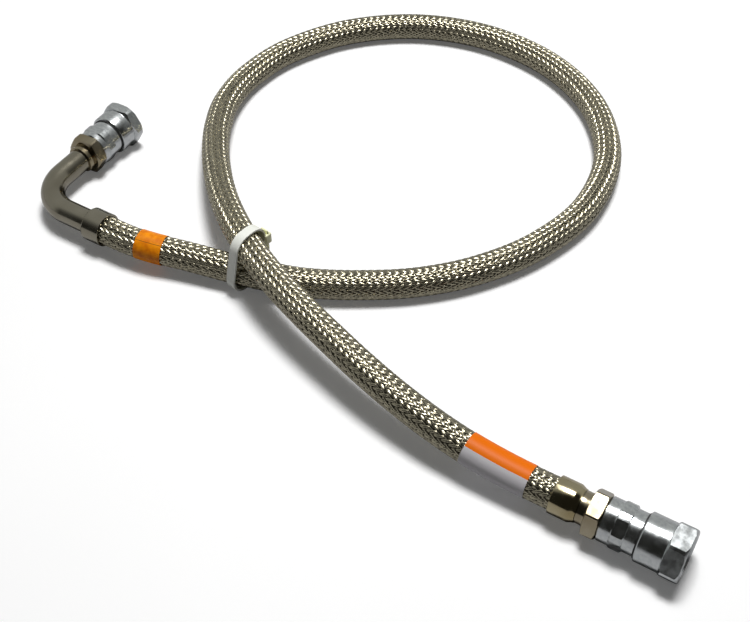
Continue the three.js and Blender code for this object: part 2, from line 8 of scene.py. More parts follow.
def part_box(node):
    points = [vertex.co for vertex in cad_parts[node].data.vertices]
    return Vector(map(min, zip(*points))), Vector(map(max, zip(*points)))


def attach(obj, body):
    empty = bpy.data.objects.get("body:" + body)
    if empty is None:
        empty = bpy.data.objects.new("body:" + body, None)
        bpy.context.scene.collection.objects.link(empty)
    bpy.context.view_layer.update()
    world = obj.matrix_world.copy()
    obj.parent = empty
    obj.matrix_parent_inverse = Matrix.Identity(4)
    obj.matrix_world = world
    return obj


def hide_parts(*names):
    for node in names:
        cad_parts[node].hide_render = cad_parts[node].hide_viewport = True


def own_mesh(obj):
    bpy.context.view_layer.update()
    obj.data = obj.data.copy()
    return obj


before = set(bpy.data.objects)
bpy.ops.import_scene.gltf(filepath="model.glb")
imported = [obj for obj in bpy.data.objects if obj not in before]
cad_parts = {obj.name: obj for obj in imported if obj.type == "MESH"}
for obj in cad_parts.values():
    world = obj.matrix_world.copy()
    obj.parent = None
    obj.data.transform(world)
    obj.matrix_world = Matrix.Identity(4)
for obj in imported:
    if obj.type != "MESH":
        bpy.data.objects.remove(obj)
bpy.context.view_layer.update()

# Cryogenic compressor hose: the looks. Places and the hose's route are in metres, and the sizes in each
# piece's dictionary are in mm and degrees unless a note says otherwise.
mm = 0.001
np.random.seed(7)


# camera
# the photo's own viewpoint, found from the hose's width and the loop's shape; its place is in metres
cameraSet = {"place": (0.2827, -0.42675, 0.5704), "tilt": 42.5, "heading": 31.2, "lens": 57.84}

bpy.ops.object.select_all(action="DESELECT")
bpy.ops.object.camera_add(
    location=cameraSet["place"],
    rotation=(math.radians(cameraSet["tilt"]), 0, math.radians(cameraSet["heading"])))
camera = bpy.context.object
camera.name = "camera"
camera.data.lens = cameraSet["lens"]
camera.data.sensor_width = 36
bpy.context.scene.camera = camera
print("camera placed")


# small helpers
def deselectAll():
    if bpy.context.object is not None and bpy.context.object.mode != "OBJECT":
        bpy.ops.object.mode_set(mode="OBJECT")
    bpy.ops.object.select_all(action="DESELECT")


def makeActive(piece):
    deselectAll()
    piece.select_set(True)
    bpy.context.view_layer.objects.active = piece


def tidyMesh(piece, mergeDistance=0.00001):
    makeActive(piece)
    bpy.ops.object.mode_set(mode="EDIT")
    bpy.ops.mesh.select_all(action="SELECT")
    bpy.ops.mesh.remove_doubles(threshold=mergeDistance)
    bpy.ops.mesh.normals_make_consistent(inside=False)
    bpy.ops.object.mode_set(mode="OBJECT")


def smoothPiece(piece, angle=35):
    makeActive(piece)
    bpy.ops.object.shade_smooth_by_angle(angle=math.radians(angle))


def placePiece(piece, matrix):
    piece.matrix_world = matrix @ piece.matrix_world
    makeActive(piece)
    bpy.ops.object.transform_apply(location=True, rotation=True, scale=True)


def combine(piece, other, operation):
    makeActive(piece)
    boolean = piece.modifiers.new("combine", "BOOLEAN")
    boolean.operation = operation
    boolean.object = other
    boolean.solver = "EXACT"
    bpy.ops.object.modifier_apply(modifier="combine")
    bpy.data.objects.remove(other, do_unlink=True)
    return piece


def turnPiece(name, profile, sides=96):
    # a circle, extruded and scaled from ring to ring along +X; the profile is [along, radius] in mm
    deselectAll()
    along, radius = profile[0]
    bpy.ops.mesh.primitive_circle_add(
        vertices=sides, radius=radius * mm, location=(along * mm, 0, 0), rotation=(0, math.pi / 2, 0))
    piece = bpy.context.object
    piece.name = name
    bpy.ops.object.transform_apply(location=True, rotation=True, scale=True)
    bpy.ops.object.mode_set(mode="EDIT")
    bpy.ops.mesh.select_all(action="SELECT")
    for nextAlong, nextRadius in profile[1:]:
        bpy.ops.mesh.extrude_region_move(
            TRANSFORM_OT_translate={"value": ((nextAlong - along) * mm, 0, 0)})
        if nextRadius != radius:
            grow = nextRadius / radius
            bpy.ops.transform.resize(value=(1, grow, grow), center_override=(nextAlong * mm, 0, 0))
        along, radius = nextAlong, nextRadius
    bpy.ops.object.mode_set(mode="OBJECT")
    tidyMesh(piece)
    return piece


def fillEnds(piece):
    makeActive(piece)
    bpy.ops.object.mode_set(mode="EDIT")
    bpy.ops.mesh.select_all(action="DESELECT")
    bpy.ops.mesh.select_non_manifold()
    bpy.ops.mesh.edge_face_add()
    bpy.ops.object.mode_set(mode="OBJECT")


def hexBar(name, acrossFlats, start, length, edgeRadius, turn=0):
    # six sides along +X, two flats level before its turn, the long edges slightly rounded
    deselectAll()
    bpy.ops.mesh.primitive_cylinder_add(
        vertices=6, radius=acrossFlats / math.sqrt(3) * mm, depth=length * mm)
    piece = bpy.context.object
    piece.name = name
    bpy.ops.object.mode_set(mode="EDIT")
    bpy.ops.mesh.select_all(action="DESELECT")
    bpy.ops.object.mode_set(mode="OBJECT")
    for edge in piece.data.edges:
        a, b = (piece.data.vertices[i].co for i in edge.vertices)
        edge.select = abs(a.z - b.z) > length * mm / 2
    bpy.ops.object.mode_set(mode="EDIT")
    bpy.ops.mesh.select_mode(type="EDGE")
    bpy.ops.mesh.bevel(offset=edgeRadius * mm, segments=3, affect="EDGES")
    bpy.ops.mesh.select_mode(type="VERT")
    bpy.ops.object.mode_set(mode="OBJECT")
    placePiece(piece, Matrix.Translation(((start + length / 2) * mm, 0, 0))
               @ Matrix.Rotation(math.radians(turn), 4, "X") @ Matrix.Rotation(math.pi / 2, 4, "Y"))
    return piece


def arcProfile(centreAlong, centreRadius, radius, fromDegrees, toDegrees, steps=4):
    # points of a round in a profile, 0 degrees along +X and 90 outwards
    points = []
    for i in range(steps + 1):
        angle = math.radians(fromDegrees + (toDegrees - fromDegrees) * i / steps)
        points.append([centreAlong + radius * math.cos(angle), centreRadius + radius * math.sin(angle)])
    return points


# materials
def newMaterial(name, color, roughness, metallic=0.0, **sockets):
    material = bpy.data.materials.new(name)
    material.use_nodes = True
    shader = material.node_tree.nodes["Principled BSDF"]
    shader.inputs["Base Color"].default_value = (*color, 1)
    shader.inputs["Roughness"].default_value = roughness
    shader.inputs["Metallic"].default_value = metallic
    for socket, value in sockets.items():
        shader.inputs[socket.replace("_", " ")].default_value = value
    return material


def addNode(material, kind, **values):
    node = material.node_tree.nodes.new(kind)
    for key, value in values.items():
        if hasattr(node, key):
            setattr(node, key, value)
        else:
            node.inputs[key.replace("_", " ")].default_value = value
    return node


def link(material, fromNode, output, toNode, entry):
    material.node_tree.links.new(fromNode.outputs[output], toNode.inputs[entry])


def colorSpots(material, scale, darker, lighter, detail=3.0, low=0.35, high=0.65):
    # cloudy change of colour over Object coordinates
    shader = material.node_tree.nodes["Principled BSDF"]
    place = addNode(material, "ShaderNodeTexCoord")
    noise = addNode(material, "ShaderNodeTexNoise", Scale=scale, Detail=detail)
    ramp = addNode(material, "ShaderNodeValToRGB")
    ramp.color_ramp.elements[0].position = low
    ramp.color_ramp.elements[0].color = (*darker, 1)
    ramp.color_ramp.elements[1].position = high
    ramp.color_ramp.elements[1].color = (*lighter, 1)
    link(material, place, "Object", noise, "Vector")
    link(material, noise, "Fac", ramp, "Fac")
    link(material, ramp, "Color", shader, "Base Color")


def roughSpots(material, scale, smooth, rough):
    # cloudy change of polish over Object coordinates
    shader = material.node_tree.nodes["Principled BSDF"]
    place = addNode(material, "ShaderNodeTexCoord")
    noise = addNode(material, "ShaderNodeTexNoise", Scale=scale, Detail=2)
    spread = addNode(material, "ShaderNodeMapRange", From_Min=0.35, From_Max=0.65,
                     To_Min=smooth, To_Max=rough)
    link(material, place, "Object", noise, "Vector")
    link(material, noise, "Fac", spread, "Value")
    link(material, spread, "Result", shader, "Roughness")


def noiseBump(material, scale, strength, distance):
    # fine unevenness over Object coordinates
    shader = material.node_tree.nodes["Principled BSDF"]
    place = addNode(material, "ShaderNodeTexCoord")
    noise = addNode(material, "ShaderNodeTexNoise", Scale=scale, Detail=3)
    bump = addNode(material, "ShaderNodeBump", Strength=strength, Distance=distance)
    link(material, place, "Object", noise, "Vector")
    link(material, noise, "Fac", bump, "Height")
    link(material, bump, "Normal", shader, "Normal")


zinc = newMaterial("bright zinc", (0.6, 0.62, 0.62), 0.2, 1.0)
colorSpots(zinc, 500, (0.54, 0.56, 0.57), (0.66, 0.68, 0.68), detail=5)
roughSpots(zinc, 220, 0.16, 0.26)
noiseBump(zinc, 700, 0.03, 0.0001)

goldSteel = newMaterial("heat tinted steel", (0.44, 0.37, 0.22), 0.16, 1.0)
colorSpots(goldSteel, 60, (0.38, 0.31, 0.17), (0.49, 0.43, 0.28))
roughSpots(goldSteel, 160, 0.1, 0.17)

adapterSteel = newMaterial("faintly tinted steel", (0.37, 0.32, 0.225), 0.18, 1.0)
colorSpots(adapterSteel, 60, (0.32, 0.27, 0.18), (0.42, 0.37, 0.27))
roughSpots(adapterSteel, 160, 0.12, 0.22)

stainless = newMaterial("polished stainless", (0.3, 0.275, 0.215), 0.18, 1.0)
colorSpots(stainless, 30, (0.26, 0.235, 0.18), (0.34, 0.315, 0.25), detail=2)
roughSpots(stainless, 120, 0.15, 0.21)

springSteel = newMaterial("drawn spring wire", (0.45, 0.46, 0.47), 0.3, 1.0)
colorSpots(springSteel, 400, (0.38, 0.38, 0.38), (0.5, 0.5, 0.51))

blackRubber = newMaterial("black seal rubber", (0.02, 0.02, 0.02), 0.5)
colorSpots(blackRubber, 500, (0.014, 0.014, 0.014), (0.03, 0.03, 0.03))

# near-black: painted shade for the gaps between the braid's bundles, darker than the steel itself
coreShadeSteel = newMaterial("corrugated steel painted as gap shade", (0.05, 0.045, 0.03), 0.5, 1.0)
colorSpots(coreShadeSteel, 200, (0.03, 0.026, 0.018), (0.07, 0.06, 0.045))

# the tie's thick head is yellower than its strap, partly the thicker nylon's own tint and partly painted
# light glowing through it; the head starts this far behind the crossing, in metres
headStart, headFull = 0.011, 0.016
strapWhite, headTintAndGlow = (0.88, 0.89, 0.82), (0.88, 0.88, 0.58)
nylon = newMaterial("natural nylon", (0.8, 0.81, 0.76), 0.35)
nylonPlace = addNode(nylon, "ShaderNodeTexCoord")
nylonSplit = addNode(nylon, "ShaderNodeSeparateXYZ")
nylonSpread = addNode(nylon, "ShaderNodeMapRange", From_Min=headStart, From_Max=headFull)
# strap white, then the head's yellow with its painted glow
nylonRamp = addNode(nylon, "ShaderNodeValToRGB")
nylonRamp.color_ramp.elements[0].color = (*strapWhite, 1)
nylonRamp.color_ramp.elements[1].color = (*headTintAndGlow, 1)
link(nylon, nylonPlace, "Object", nylonSplit, "Vector")
link(nylon, nylonSplit, "Y", nylonSpread, "Value")
link(nylon, nylonSpread, "Result", nylonRamp, "Fac")
link(nylon, nylonRamp, "Color", nylon.node_tree.nodes["Principled BSDF"], "Base Color")

# a hair line runs along the tape, where towardsMiddle is nearly 1
creaseFrom, creaseBrown = 0.9995, (0.3, 0.1, 0.01)
tapeOrange = newMaterial("orange tape", (0.9, 0.27, 0.004), 0.4, Specular_IOR_Level=0.15)
colorSpots(tapeOrange, 250, (0.74, 0.19, 0.003), (0.94, 0.31, 0.005), detail=5)
tapeCrease = addNode(tapeOrange, "ShaderNodeAttribute", attribute_name="towardsMiddle")
tapeLine = addNode(tapeOrange, "ShaderNodeMath", operation="GREATER_THAN")
tapeLine.inputs[1].default_value = creaseFrom
tapeMix = addNode(tapeOrange, "ShaderNodeMix", data_type="RGBA", B=(*creaseBrown, 1))
tapeShader = tapeOrange.node_tree.nodes["Principled BSDF"]
tapeSpots = tapeShader.inputs["Base Color"].links[0].from_node
link(tapeOrange, tapeCrease, "Fac", tapeLine, 0)
link(tapeOrange, tapeLine, "Value", tapeMix, "Factor")
link(tapeOrange, tapeSpots, "Color", tapeMix, "A")
link(tapeOrange, tapeMix, "Result", tapeShader, "Base Color")

# two halves lengthwise: orange where towardsMiddle is above the edge, silver below it
labelEdge, labelOrange, labelSilver = 0.67, (0.84, 0.17, 0.002), (0.62, 0.6, 0.62)
labelFilm = newMaterial("two tone label film", (0.85, 0.2, 0.03), 0.42, Specular_IOR_Level=0.12)
labelSides = addNode(labelFilm, "ShaderNodeAttribute", attribute_name="towardsMiddle")
labelRamp = addNode(labelFilm, "ShaderNodeValToRGB")
labelRamp.color_ramp.interpolation = "CONSTANT"
labelRamp.color_ramp.elements[0].color = (*labelSilver, 1)
labelRamp.color_ramp.elements[1].position = labelEdge
labelRamp.color_ramp.elements[1].color = (*labelOrange, 1)
link(labelFilm, labelSides, "Fac", labelRamp, "Fac")
link(labelFilm, labelRamp, "Color", labelFilm.node_tree.nodes["Principled BSDF"], "Base Color")
print("materials made", len(bpy.data.materials))


# route of the hose
# the same points as the CAD source, here in metres
elbowMouth = Vector((-0.1706, -0.0215, 0.0151))
straightMouth = Vector((0.1741, -0.0567, 0.0151))
hoseInsertion, hoseStep = 0.011, 0.001
routePoints = [
    (elbowMouth.x - hoseInsertion, elbowMouth.y, elbowMouth.z), tuple(elbowMouth),
    (-0.1515, -0.021, 0.015), (-0.133, -0.0176, 0.0141), (-0.111, -0.0116, 0.0129),
    (-0.086, -0.0056, 0.0117), (-0.0605, 0.0006, 0.0114), (-0.034, 0.0099, 0.0106),
    (-0.0035, 0.0268, 0.0099), (0.028, 0.0493, 0.00975), (0.056, 0.0795, 0.00975),
    (0.0787, 0.1195, 0.00975), (0.0906, 0.17, 0.00975), (0.0816, 0.226, 0.00975),
    (0.049, 0.274, 0.00975), (0.0, 0.304, 0.00975), (-0.058, 0.312, 0.00975),
    (-0.113, 0.297, 0.00975), (-0.1575, 0.262, 0.00975), (-0.1845, 0.2155, 0.00975),
    (-0.1923, 0.1725, 0.0101), (-0.187, 0.136, 0.0121), (-0.1728, 0.1053, 0.0157),
    (-0.154, 0.0774, 0.02), (-0.1337, 0.0532, 0.0244), (-0.1133, 0.0328, 0.028),
    (-0.094, 0.017, 0.0305), (-0.0748, 0.0038, 0.0316), (-0.0525, -0.0088, 0.0318),
    (-0.0298, -0.019, 0.0312), (-0.0064, -0.0277, 0.03), (0.0172, -0.0354, 0.0283),
    (0.04, -0.0422, 0.0263), (0.0645, -0.0482, 0.0238), (0.091, -0.0531, 0.021),
    (0.116, -0.0557, 0.018), (0.137, -0.0565, 0.016), (0.156, -0.0567, 0.0151),
    tuple(straightMouth), (straightMouth.x + hoseInsertion, straightMouth.y, straightMouth.z),
]


def smoothLine(points, perSpan=40):
    # one smooth curve through the points, the same kind that the CAD tube follows
    p = np.array(points)
    p = np.vstack([2 * p[0] - p[1], p, 2 * p[-1] - p[-2]])
    t = np.linspace(0, 1, perSpan, endpoint=False)[:, None]
    spans = []
    for a, b, c, d in zip(p, p[1:], p[2:], p[3:]):
        spans.append(0.5 * (2 * b + (c - a) * t + (2 * a - 5 * b + 4 * c - d) * t ** 2
                            + (3 * b - a - 3 * c + d) * t ** 3))
    spans.append(p[-2:-1])
    return np.vstack(spans)


def evenLine(line, step):
    along = np.concatenate([[0], np.cumsum(np.linalg.norm(np.diff(line, axis=0), axis=1))])
    wanted = np.linspace(0, along[-1], int(round(along[-1] / step)) + 1)
    return np.stack([np.interp(wanted, along, line[:, i]) for i in range(3)], 1), wanted


def carriedFrames(line):
    # side and up vectors that turn with the line without twisting round it
    tangent = np.gradient(line, axis=0)
    tangent /= np.linalg.norm(tangent, axis=1)[:, None]
    side = np.zeros_like(line)
    up = np.array([0, 0, 1.0])
    for i, t in enumerate(tangent):
        up = up - t * (up @ t)
        up /= np.linalg.norm(up)
        side[i] = np.cross(up, t)
        up = np.cross(t, side[i])
    return side, np.cross(tangent, side)


hoseLine, hoseAlong = evenLine(smoothLine(routePoints), hoseStep)
hoseSide, hoseUp = carriedFrames(hoseLine)
hoseLength = hoseAlong[-1] - 2 * hoseInsertion
print("hose between its ferrules", round(hoseLength, 4))


def hosePoint(along, angle, radius):
    # a point of the hose's surface: distance along it, angle round it from the top, radius
    centre = np.stack([np.interp(along, hoseAlong, hoseLine[:, i]) for i in range(3)], -1)
    side = np.stack([np.interp(along, hoseAlong, hoseSide[:, i]) for i in range(3)], -1)
    up = np.stack([np.interp(along, hoseAlong, hoseUp[:, i]) for i in range(3)], -1)
    return centre + radius[..., None] * (np.sin(angle)[..., None] * side + np.cos(angle)[..., None] * up)


def gridMesh(name, points, capEnds=True):
    # closed rings of points, joined ring to ring; points is rings x around x 3
    rings, around = points.shape[:2]
    index = np.arange(rings * around).reshape(rings, around)
    nextRound = np.roll(index, -1, axis=1)
    quads = np.stack([index[:-1], nextRound[:-1], nextRound[1:], index[1:]], -1)
    faces = quads.reshape(-1, 4).tolist()
    if capEnds:
        faces.append(index[0, ::-1].tolist())
        faces.append(index[-1].tolist())
    mesh = bpy.data.meshes.new(name)
    mesh.from_pydata(points.reshape(-1, 3).tolist(), [], faces)
    piece = bpy.data.objects.new(name, mesh)
    bpy.context.scene.collection.objects.link(piece)
    return piece


# braid
# two families of flat wire bundles, each over two and under two of the other, so the floats
# stand in lengthwise columns that slope one way and then the other
braidSet = {
    "strands": 24, "outerRadius": 9.75, "slope": 25.2, "looseSlope": 31.0, "looseLength": 45.0,
    "width": 1.84, "thickness": 0.55, "lift": 0.28, "wires": 6, "insideFerrule": 4.0,
    "arch": 1.12, "narrowing": 0.12, "flatShare": 0.45, "edgeShare": 0.26, "strandShift": 7.3,
    "samples": 4000,
}
# bundles wander a little from their lay, in waves of these lengths in metres
wanderSet = {"share": 0.1, "waves": (0.061, 0.097, 0.143), "ripple": 0.034, "ripplePhase": 1.7}


def braidCrossings(midRadius):
    # places along the hose, two for each crossing: the lay opens out towards the straight ferrule
    start = hoseInsertion - braidSet["insideFerrule"] * mm
    end = hoseInsertion + hoseLength + braidSet["insideFerrule"] * mm
    fine = np.linspace(start, end, braidSet["samples"])
    toFerrule = (hoseInsertion + hoseLength - fine) / (braidSet["looseLength"] * mm)
    loose = np.clip(1 - toFerrule, 0, 1) ** 2
    slope = np.radians(braidSet["slope"] + (braidSet["looseSlope"] - braidSet["slope"]) * loose)
    turned = np.concatenate([[0], np.cumsum(np.tan(slope[:-1]) * np.diff(fine))]) / midRadius
    halfCrossing = math.pi / 2 / braidSet["strands"]
    angles = np.arange(int(turned[-1] / halfCrossing) + 1) * halfCrossing
    return np.interp(angles, turned, fine), angles, np.interp(angles, turned, slope)


def braidFamily(name, direction, material):
    # all the bundles that wind one way; direction is 1 or -1
    strands = braidSet["strands"]
    thickness, lift = braidSet["thickness"] * mm, braidSet["lift"] * mm
    midRadius = braidSet["outerRadius"] * mm - thickness - lift
    pitchRound = 2 * math.pi * midRadius / strands
    along, turned, slope = braidCrossings(midRadius)
    steps = len(along) - 1
    crossings = np.arange(steps + 1) / 2
    # how high a bundle runs at each half crossing: over two, under two, arched in the middle
    halfSteps = np.arange(0, 4.01, 0.5)
    weave = np.interp(halfSteps, [0, 1, 1.5, 2, 3, 3.5, 4], [1, 1, 0, -1, -1, 0, 1])
    weave[1], weave[5] = braidSet["arch"], -braidSet["arch"]
    flat, edge = braidSet["flatShare"], braidSet["edgeShare"]
    across = np.array([-1, -flat, flat, 1]) * braidSet["width"] * mm / 2
    height = np.array([0, 1, 1, 0]) * thickness
    vertices, faces, uvs = [], [], []
    for strand in range(strands):
        phase = (2 * strand + direction * crossings) % 4
        rise = direction * np.interp(phase, halfSteps, weave) * lift
        waves = sum(np.sin(along / wave * 2 * math.pi + start)
                    for wave, start in zip(wanderSet["waves"], wavePhases))
        ripple = np.sin(along / wanderSet["ripple"] * 2 * math.pi + strand * wanderSet["ripplePhase"]
                        + direction)
        drift = wanderSet["share"] * pitchRound * (waves / len(wavePhases) + ripple / 2)
        angle = 2 * math.pi * strand / strands + direction * turned + drift / midRadius
        squeeze = 1 - braidSet["narrowing"] * np.clip(-rise / lift, 0, 1)  # narrower where they dive under
        side = across[None, :] * squeeze[:, None]
        pointAlong = along[:, None] - direction * np.sin(slope)[:, None] * side
        pointAngle = angle[:, None] + np.cos(slope)[:, None] * side / midRadius
        radius = midRadius + rise[:, None] + height[None, :]
        base = strand * (steps + 1) * 4
        vertices.append(hosePoint(pointAlong, pointAngle, radius).reshape(-1, 3))
        index = base + np.arange((steps + 1) * 4).reshape(steps + 1, 4)
        quads = np.stack([index[:-1], np.roll(index, -1, 1)[:-1], np.roll(index, -1, 1)[1:], index[1:]], -1)
        faces.append(quads.reshape(-1, 4))
        faces.append(np.stack([index[0, ::-1], index[-1]]))
        u = np.array([[0, edge, edge, 0], [edge, 1 - edge, 1 - edge, edge], [1 - edge, 1, 1, 1 - edge],
                      [1, 0, 0, 1]])
        u = np.broadcast_to(u, (steps, 4, 4))
        v = np.broadcast_to((along / mm)[:, None], (steps + 1, 4))
        v = np.stack([v[:-1], v[:-1], v[1:], v[1:]], -1)
        uvs.append(np.stack([u, v + strand * braidSet["strandShift"]], -1).reshape(-1, 2))
        uvs.append(np.zeros((8, 2)))
    vertices, faces = np.vstack(vertices), np.vstack(faces)
    mesh = bpy.data.meshes.new(name)
    mesh.from_pydata(vertices.tolist(), [], faces.tolist())
    uvLayer = mesh.uv_layers.new(name="wires")
    uvLayer.data.foreach_set("uv", np.vstack(uvs).astype(np.float32).ravel())
    piece = bpy.data.objects.new(name, mesh)
    bpy.context.scene.collection.objects.link(piece)
    mesh.materials.append(material)
    makeActive(piece)
    bpy.ops.object.mode_set(mode="EDIT")
    bpy.ops.mesh.select_all(action="SELECT")
    bpy.ops.mesh.normals_make_consistent(inside=False)
    bpy.ops.object.mode_set(mode="OBJECT")
    smoothPiece(piece, 50)
    return piece


wireSet = {"tint": (0.48, 0.44, 0.325), "dullShare": 0.55, "roughness": 0.26, "stretch": 0.8,
           "grooves": 0.2, "grooveDepth": 0.1}


def braidMaterial(name):
    # drawn wires side by side: fine grooves along each bundle, and duller stretches here and there
    tint = wireSet["tint"]
    material = newMaterial(name, tint, wireSet["roughness"], 1.0)
    shader = material.node_tree.nodes["Principled BSDF"]
    dull = tuple(c * wireSet["dullShare"] for c in tint)
    colorSpots(material, 420, dull, tint, detail=4, low=0.32, high=0.62)
    uvPlace = addNode(material, "ShaderNodeUVMap")
    uvPlace.uv_map = "wires"
    acrossWires = addNode(material, "ShaderNodeTangent", direction_type="UV_MAP")
    acrossWires.uv_map = "wires"
    shader.inputs["Anisotropic"].default_value = wireSet["stretch"]
    link(material, acrossWires, "Tangent", shader, "Tangent")
    split = addNode(material, "ShaderNodeSeparateXYZ")
    wires = addNode(material, "ShaderNodeMath", operation="MULTIPLY")
    wires.inputs[1].default_value = braidSet["wires"] * math.pi
    sine = addNode(material, "ShaderNodeMath", operation="SINE")
    ridge = addNode(material, "ShaderNodeMath", operation="ABSOLUTE")
    bump = addNode(material, "ShaderNodeBump", Strength=wireSet["grooves"],
                   Distance=wireSet["grooveDepth"] * mm)
    link(material, uvPlace, "UV", split, "Vector")
    link(material, split, "X", wires, 0)
    link(material, wires, "Value", sine, 0)
    link(material, sine, "Value", ridge, 0)
    link(material, ridge, "Value", bump, "Height")
    link(material, bump, "Normal", shader, "Normal")
    return material


wavePhases = np.random.uniform(0, 2 * math.pi, len(wanderSet["waves"]))
braidWire = braidMaterial("braid wire")
braidRight = braidFamily("braid_right_lay", 1, braidWire)
braidLeft = braidFamily("braid_left_lay", -1, braidWire)
print("braid woven", len(braidRight.data.polygons) + len(braidLeft.data.polygons))


# the corrugated gas hose under the braid; its near-black colour is painted shade, the dark that shows
# through the braid's gaps
coreSet = {"crest": 8.75, "root": 7.9, "wave": 3.2, "sides": 24}
coreAlong = np.arange(0, hoseAlong[-1], coreSet["wave"] * mm / 2)
coreRadius = np.where(np.arange(len(coreAlong)) % 2 == 0, coreSet["crest"], coreSet["root"]) * mm
coreAngle = np.linspace(0, 2 * math.pi, coreSet["sides"], endpoint=False)
core = gridMesh("corrugated_hose", hosePoint(
    coreAlong[:, None] + 0 * coreAngle, coreAngle + 0 * coreAlong[:, None],
    coreRadius[:, None] + 0 * coreAngle))
core.data.materials.append(coreShadeSteel)
tidyMesh(core)
smoothPiece(core, 80)
print("core made")


# end fittings
# lengths in mm along each coupling and out from its axis, from the same driving sizes as the CAD source
nutSet = {"flats": 30.2, "round": 14.5, "corner": 16.9, "mouth": 15.4, "bore": 12.3, "lip": 5.2,
          "chamfer": 1.6, "rearRound": 0.9, "longEdge": 0.5, "step": 0.2, "stepLength": 0.15,
          "runOut": 1.5, "ringPastStep": 1.2, "shortOfFront": 2.0, "mouthEdge": 0.25}
threadSet = {"pitch": 1.4, "depth": 0.65, "rootFlat": 0.15, "lead": 0.2, "start": 0.6, "end": 1.2,
             "mouthCone": 1, "mouthGrowth": 1.2}
bodySet = {"sleeve": 13.0, "flats": 25.8, "corner": 13.8, "neck": 12.5, "spigot": 11.0,
           "chamber": 8.6, "lip": 2.0, "lipBore": 7.6, "sealInner": 8.3, "sealOuter": 10.0,
           "sealDepth": 1.3, "edge": 0.6, "tuck": 0.8, "seamEdge": 0.3, "noseEdge": 0.5, "lipEdge": 0.2,
           "hexEdge": 0.7, "longEdge": 0.3, "hexWall": 1.5}
straightEnd = {"name": "straight", "hex": 20.5, "hexLength": 8.8, "sleeve": 7.1, "bodyHex": 7.6,
               "neck": 6.6, "nutRound": 14.4, "nutHex": 11.5, "setback": 13.4,
               "hexTurn": 15, "bodyTurn": -17}
elbowEnd = {"name": "elbow", "hex": 51.0, "hexLength": 7.6, "sleeve": 4.4, "bodyHex": 6.6,
            "neck": 6.6, "nutRound": 11.2, "nutHex": 8.1, "setback": 10.8, "hexTurn": 0, "bodyTurn": 0}
# the play round the hose and between parts, the seam with the dust ring, and how far cutters reach past
seatGap, seamWidth, cutPast = 0.3, 0.7, 1

elbowCorner = Vector((-0.2338, elbowMouth.y, elbowMouth.z))
straightPlace = Matrix.Translation(straightMouth)
elbowPlace = Matrix.Translation(elbowCorner) @ Matrix.Rotation(math.pi / 2, 4, "Z")


def stations(end):
    # where each step of a coupling starts, from its driving lengths
    at = {"sleeve": end["hex"] + end["hexLength"] + seatGap}
    at["bodyHex"] = at["sleeve"] + end["sleeve"]
    at["neck"] = at["bodyHex"] + end["bodyHex"]
    at["seam"] = at["neck"] + end["neck"]
    at["nut"] = at["seam"] + seamWidth
    at["nutHex"] = at["nut"] + end["nutRound"]
    at["nutFront"] = at["nutHex"] + end["nutHex"]
    at["face"] = at["nutFront"] - end["setback"]
    return at


def finishFitting(piece, place, material):
    placePiece(piece, place)
    tidyMesh(piece)
    piece.data.materials.clear()
    piece.data.materials.append(material)
    smoothPiece(piece, 15)    # a wider angle would bend the flats' shading over their bevels
    return piece


def solidTurn(name, profile, smallest=0.02):
    # a solid with no bore: both ends run in to the axis, where they are filled
    piece = turnPiece(name, [[profile[0][0], smallest], *profile, [profile[-1][0], smallest]])
    fillEnds(piece)
    return piece


def makeNut(end, place):
    at = stations(end)
    rear, shoulder, front = at["nut"], at["nutHex"], at["nutFront"]
    outer, mouth, rearRound = nutSet["round"], nutSet["mouth"], nutSet["rearRound"]
    step, stepLength, innerEnd = nutSet["step"], nutSet["stepLength"], front - nutSet["shortOfFront"]
    lipBore = bodySet["spigot"] + seatGap
    body = turnPiece(end["name"] + "_nut", [
        [rear, lipBore], *arcProfile(rear + rearRound, outer - rearRound, rearRound, 180, 90),
        [shoulder + nutSet["ringPastStep"], outer], [innerEnd, outer], [innerEnd, lipBore], [rear, lipBore]])
    barrel = solidTurn("barrel", [
        [shoulder, outer - step], [shoulder + stepLength, outer + step],
        [shoulder + nutSet["runOut"], nutSet["corner"]], [front - nutSet["chamfer"], nutSet["corner"]],
        [front - nutSet["mouthEdge"], mouth + stepLength], [front, mouth - step]])
    flats = hexBar("flats", nutSet["flats"], shoulder, end["nutHex"], nutSet["longEdge"])
    combine(flats, barrel, "INTERSECT")
    combine(body, flats, "UNION")
    combine(body, threadBore(rear + nutSet["lip"], front, lipBore, rear), "DIFFERENCE")
    return finishFitting(body, place, zinc)


def threadBore(start, front, lipBore, rear):
    # the cutter for the nut's inside: a plain lip bore, then thread grooves out to the mouth
    bore, groove = nutSet["bore"], nutSet["bore"] + threadSet["depth"]
    half, rootFlat = threadSet["pitch"] / 2, threadSet["rootFlat"]
    profile = [[rear - cutPast, lipBore], [start, lipBore], [start + threadSet["lead"], bore]]
    along = start + threadSet["start"]
    while along + threadSet["pitch"] < front - threadSet["end"]:
        profile += [[along, bore], [along + half * (1 - rootFlat), groove],
                    [along + half * (1 + rootFlat), groove]]
        along += threadSet["pitch"]
    return solidTurn("cutter", [
        *profile, [along, bore], [front - threadSet["mouthCone"], bore],
        [front + threadSet["lead"], bore + threadSet["mouthGrowth"]]])


